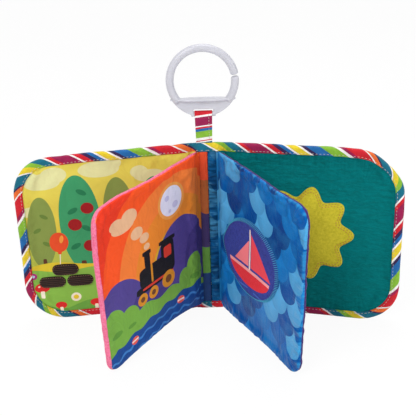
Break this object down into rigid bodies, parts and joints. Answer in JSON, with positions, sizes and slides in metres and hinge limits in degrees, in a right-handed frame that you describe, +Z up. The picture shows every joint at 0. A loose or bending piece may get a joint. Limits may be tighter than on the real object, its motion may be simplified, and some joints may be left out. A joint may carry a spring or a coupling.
{
  "type": "crinkle cloth book",
  "caption": "Soft cloth book for a baby: two padded covers, two padded crinkle leaves sewn to the spine, striped binding, and a plastic clip ring on a ribbon loop.",
  "frame": {"origin": "on the floor, at the middle of the spine's thickness and width", "axes": "+Z up along the spine; -Y towards the reader, the way the book opens; +X to the reader's right"},
  "size_m": [0.339, 0.1306, 0.2508],
  "materials": {
    "sunny_print": "printed woven cotton",
    "sunset_print": "printed satin-faced cloth",
    "scale_satin": "shiny printed satin",
    "teal_fleece": "short fleece",
    "pink_plush": "short plush",
    "purple_cloth": "woven cloth",
    "cover_cloth": "woven cotton",
    "striped_binding": "striped woven tape, stitched",
    "striped_ribbon": "striped woven tape",
    "orange_cloth": "printed cloth",
    "wadding": "polyester wadding",
    "crinkle_film": "thin crackling film",
    "corduroy": "ribbed corduroy",
    "yellow_felt": "short-pile felt",
    "indigo_felt": "felt",
    "white_plastic": "moulded, semi-gloss"
  },
  "bodies": {
    "spine": {"spine_back": "cover_cloth", "spine_wadding": "wadding", "centre_band_orange": "orange_cloth", "centre_band_blue": "scale_satin", "spine_binding_bottom": "striped_binding", "spine_binding_top": "striped_binding"},
    "left_gutter": {"left_gutter": "cover_cloth"},
    "left_cover": {"left_cover_page": "sunny_print", "left_cover_back": "cover_cloth", "left_cover_wadding": "wadding", "left_cover_binding": "striped_binding", "corduroy_log_1": "corduroy", "corduroy_log_2": "corduroy", "corduroy_log_3": "corduroy"},
    "left_leaf_root": {"left_leaf_root": "sunset_print"},
    "left_leaf": {"left_leaf_front": "sunset_print", "left_leaf_back": "pink_plush", "left_leaf_crinkle_film": "crinkle_film", "left_leaf_wadding": "wadding"},
    "right_gutter": {"right_gutter": "cover_cloth"},
    "right_cover": {"right_cover_page": "teal_fleece", "right_cover_back": "cover_cloth", "right_cover_wadding": "wadding", "right_cover_binding": "striped_binding", "sun_patch": "yellow_felt"},
    "right_leaf_root": {"right_leaf_root": "scale_satin"},
    "right_leaf": {"right_leaf_front": "scale_satin", "right_leaf_back": "purple_cloth", "right_leaf_crinkle_film": "crinkle_film", "right_leaf_wadding": "wadding", "oval_patch": "indigo_felt"},
    "hanging_loop": {"hanging_loop": "striped_ribbon"},
    "ring": {"ring_base": "white_plastic"},
    "ring_arm": {"ring_arm": "white_plastic"}
  },
  "joints": [
    {"name": "left_fold_back", "type": "hinge", "parent": "spine", "child": "left_gutter", "pos_m": [-0.012, 0, 0], "axis": [0, 0, 1], "range_deg": [-93.5, 0]},
    {"name": "left_close", "type": "hinge", "parent": "left_gutter", "child": "left_cover", "pos_m": [-0.01549, -0.00021, 0], "axis": [0, 0, 1], "range_deg": [0, 86.5]},
    {"name": "left_leaf_follow", "type": "hinge", "parent": "spine", "child": "left_leaf_root", "pos_m": [-0.008, -0.00238, 0], "axis": [0, 0, 1], "range_deg": [0, 39.2]},
    {"name": "left_page_turn", "type": "hinge", "parent": "left_leaf_root", "child": "left_leaf", "pos_m": [-0.01169, -0.00711, 0], "axis": [0, 0, 1], "range_deg": [-46, 66]},
    {"name": "right_fold_back", "type": "hinge", "parent": "spine", "child": "right_gutter", "pos_m": [0.012, 0, 0], "axis": [0, 0, 1], "range_deg": [0, 102]},
    {"name": "right_close", "type": "hinge", "parent": "right_gutter", "child": "right_cover", "pos_m": [0.01542, -0.00073, 0], "axis": [0, 0, 1], "range_deg": [-78, 0]},
    {"name": "right_leaf_follow", "type": "hinge", "parent": "spine", "child": "right_leaf_root", "pos_m": [0.008, -0.00238, 0], "axis": [0, 0, 1], "range_deg": [-30.2, 0]},
    {"name": "right_page_turn", "type": "hinge", "parent": "right_leaf_root", "child": "right_leaf", "pos_m": [0.01091, -0.00763, 0], "axis": [0, 0, 1], "range_deg": [-68, 44]},
    {"name": "loop_bend", "type": "hinge", "parent": "spine", "child": "hanging_loop", "pos_m": [-0.0025, 0, 0.1668], "axis": [1, 0, 0], "range_deg": [-70, 70]},
    {"name": "ring_swing", "type": "hinge", "parent": "hanging_loop", "child": "ring", "pos_m": [-0.0025, 0, 0.1911], "axis": [-1, 0, 0], "range_deg": [-85, 85]},
    {"name": "ring_arm_flex", "type": "hinge", "parent": "ring", "child": "ring_arm", "pos_m": [-0.03104, 0.00102, 0.20776], "axis": [0, -0.9981, 0.061], "range_deg": [0, 8], "stiffness_Nm_per_rad": 0.1}
  ],
  "couplings": [
    {"joint": "left_leaf_follow", "follows": "left_close", "ratio": 0.453},
    {"joint": "right_leaf_follow", "follows": "right_close", "ratio": 0.387}
  ]
}
